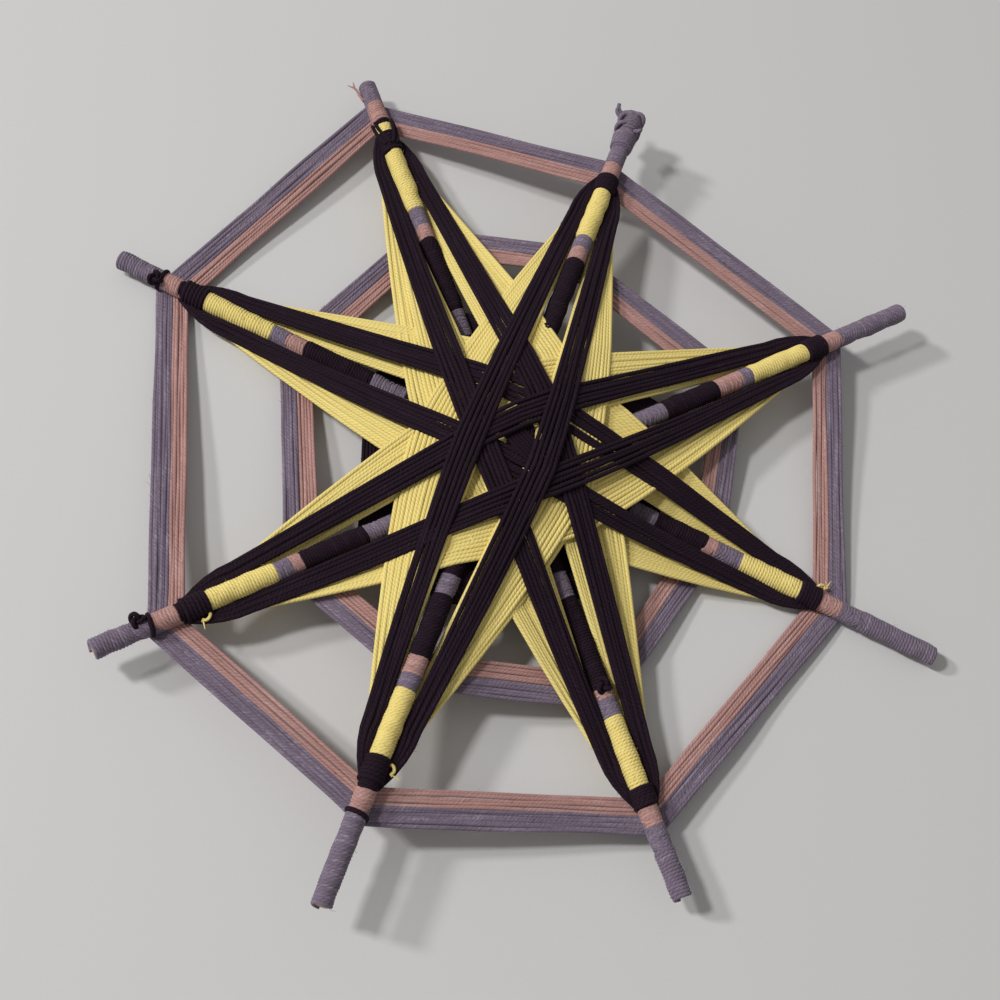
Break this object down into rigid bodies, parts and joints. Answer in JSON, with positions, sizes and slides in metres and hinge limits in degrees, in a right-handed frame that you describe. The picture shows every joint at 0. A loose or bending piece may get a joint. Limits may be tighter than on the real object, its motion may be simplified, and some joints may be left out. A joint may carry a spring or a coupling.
{
  "type": "ojo de dios",
  "caption": "Yarn star on crossed round sticks: straight purple and pink webs bind the arms, and yellow and dark star windings rise to a woven centre.",
  "frame": {"origin": "under the middle of the outline box, on the surface the star lies on, back down", "axes": "+Z out of the face with the star windings; +Y up the picture, between the arms A1 and A2; +X to the right of the picture; arms are numbered clockwise from the top left"},
  "size_m": [0.2732, 0.295, 0.0324],
  "materials": {
    "stick_wood": "bare softwood dowel",
    "purple_yarn": "plied wool yarn, purple grey",
    "pink_yarn": "plied wool yarn, dusty pink",
    "yellow_yarn": "plied wool yarn, pale yellow",
    "dark_yarn": "plied wool yarn, dark aubergine"
  },
  "bodies": {
    "root": {"stick_A4_A8": "stick_wood", "stick_A1_A5": "stick_wood", "stick_A3_A7": "stick_wood", "stick_A2_A6": "stick_wood", "outer_web_purple": "purple_yarn", "outer_web_pink": "pink_yarn", "inner_web_purple": "purple_yarn", "inner_web_pink": "pink_yarn", "centre_ring_purple": "purple_yarn", "tip_wrap_A1": "purple_yarn", "tip_wrap_A2": "purple_yarn", "tip_wrap_A3": "purple_yarn", "tip_wrap_A4": "purple_yarn", "tip_wrap_A5": "purple_yarn", "tip_wrap_A6": "purple_yarn", "tip_wrap_A7": "purple_yarn", "tip_wrap_A8": "purple_yarn", "dark_collar_A1": "dark_yarn", "dark_collar_A2": "dark_yarn", "dark_collar_A3": "dark_yarn", "dark_collar_A4": "dark_yarn", "dark_collar_A5": "dark_yarn", "dark_collar_A6": "dark_yarn", "dark_collar_A7": "dark_yarn", "dark_collar_A8": "dark_yarn", "yellow_wrap_A1": "yellow_yarn", "yellow_wrap_A2": "yellow_yarn", "yellow_wrap_A3": "yellow_yarn", "yellow_wrap_A4": "yellow_yarn", "yellow_wrap_A5": "yellow_yarn", "yellow_wrap_A6": "yellow_yarn", "yellow_wrap_A7": "yellow_yarn", "yellow_wrap_A8": "yellow_yarn", "dark_wrap_A1": "dark_yarn", "dark_wrap_A2": "dark_yarn", "dark_wrap_A3": "dark_yarn", "dark_wrap_A4": "dark_yarn", "dark_wrap_A5": "dark_yarn", "dark_wrap_A6": "dark_yarn", "dark_wrap_A7": "dark_yarn", "dark_wrap_A8": "dark_yarn", "yellow_star_A4_A8": "yellow_yarn", "yellow_star_A1_A5": "yellow_yarn", "yellow_star_A3_A7": "yellow_yarn", "yellow_star_A2_A6": "yellow_yarn", "dark_star_A4_A8": "dark_yarn", "dark_star_A1_A5": "dark_yarn", "dark_star_A3_A7": "dark_yarn", "dark_star_A2_A6": "dark_yarn", "woven_centre": "dark_yarn", "yellow_tail_A4": "yellow_yarn", "yellow_tail_A6": "yellow_yarn", "yellow_tail_A7": "yellow_yarn", "pink_tail_A1": "pink_yarn", "dark_knot_A5": "dark_yarn", "dark_knot_A7": "dark_yarn", "dark_knot_A8": "dark_yarn", "purple_knot_A2": "purple_yarn"}
  },
  "joints": []
}
